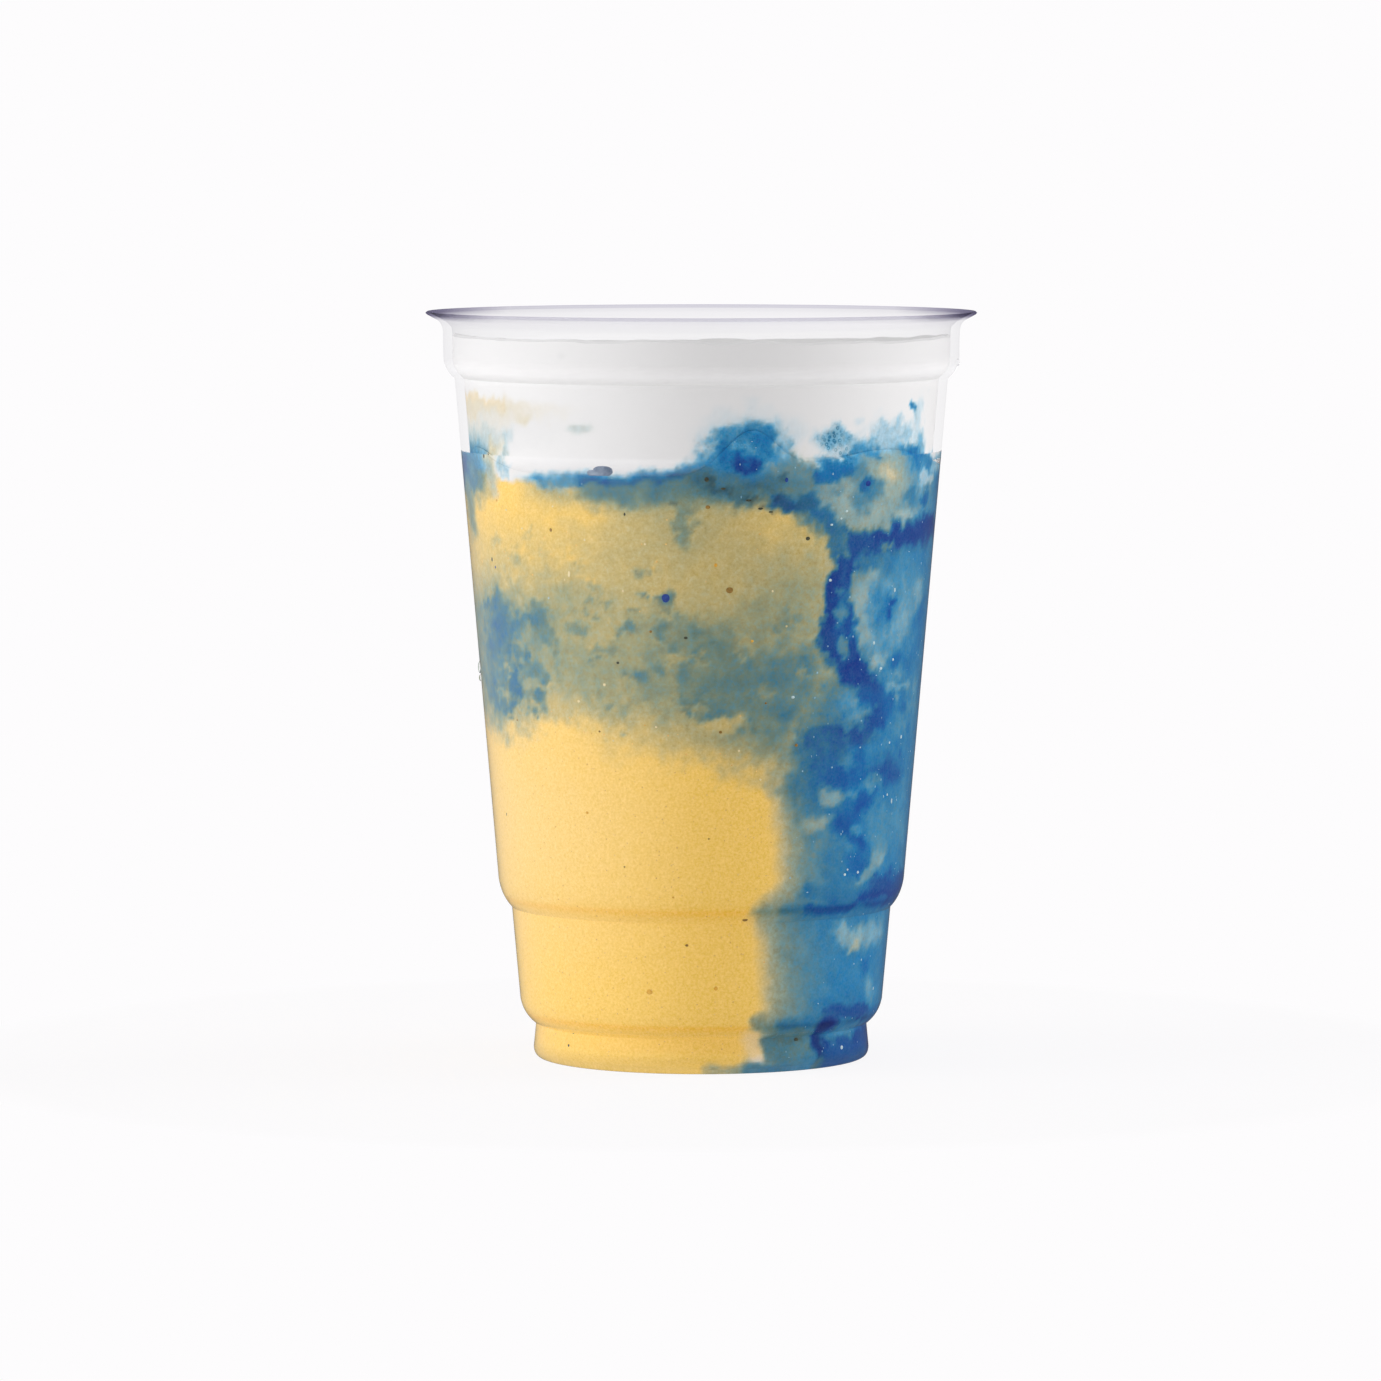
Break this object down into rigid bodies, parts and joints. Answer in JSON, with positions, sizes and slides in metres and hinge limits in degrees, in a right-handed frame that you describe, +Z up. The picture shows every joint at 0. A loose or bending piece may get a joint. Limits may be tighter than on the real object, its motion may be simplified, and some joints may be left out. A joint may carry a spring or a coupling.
{
  "type": "cup of blue spirulina smoothie",
  "caption": "Clear plastic take-away cup with ledges and a flared rim, filled with mango and blue spirulina smoothie under white cream.",
  "frame": {"origin": "middle of the foot, on the surface that the cup stands on", "axes": "+Z up along the cup's axis, -Y towards the front that the picture shows, +X to the right, where the blue runs down"},
  "size_m": [0.095, 0.095, 0.129],
  "materials": {
    "clear_plastic": "clear glossy thermoformed plastic",
    "mango_smoothie": "thick opaque smoothie, mottled with blue",
    "spirulina_smoothie": "thick opaque smoothie, marbled deep blue to pale teal",
    "cream": "soft white cream"
  },
  "bodies": {
    "root": {"cup": "clear_plastic", "mango_smoothie": "mango_smoothie", "spirulina_swirl": "spirulina_smoothie", "cream": "cream"}
  },
  "joints": []
}
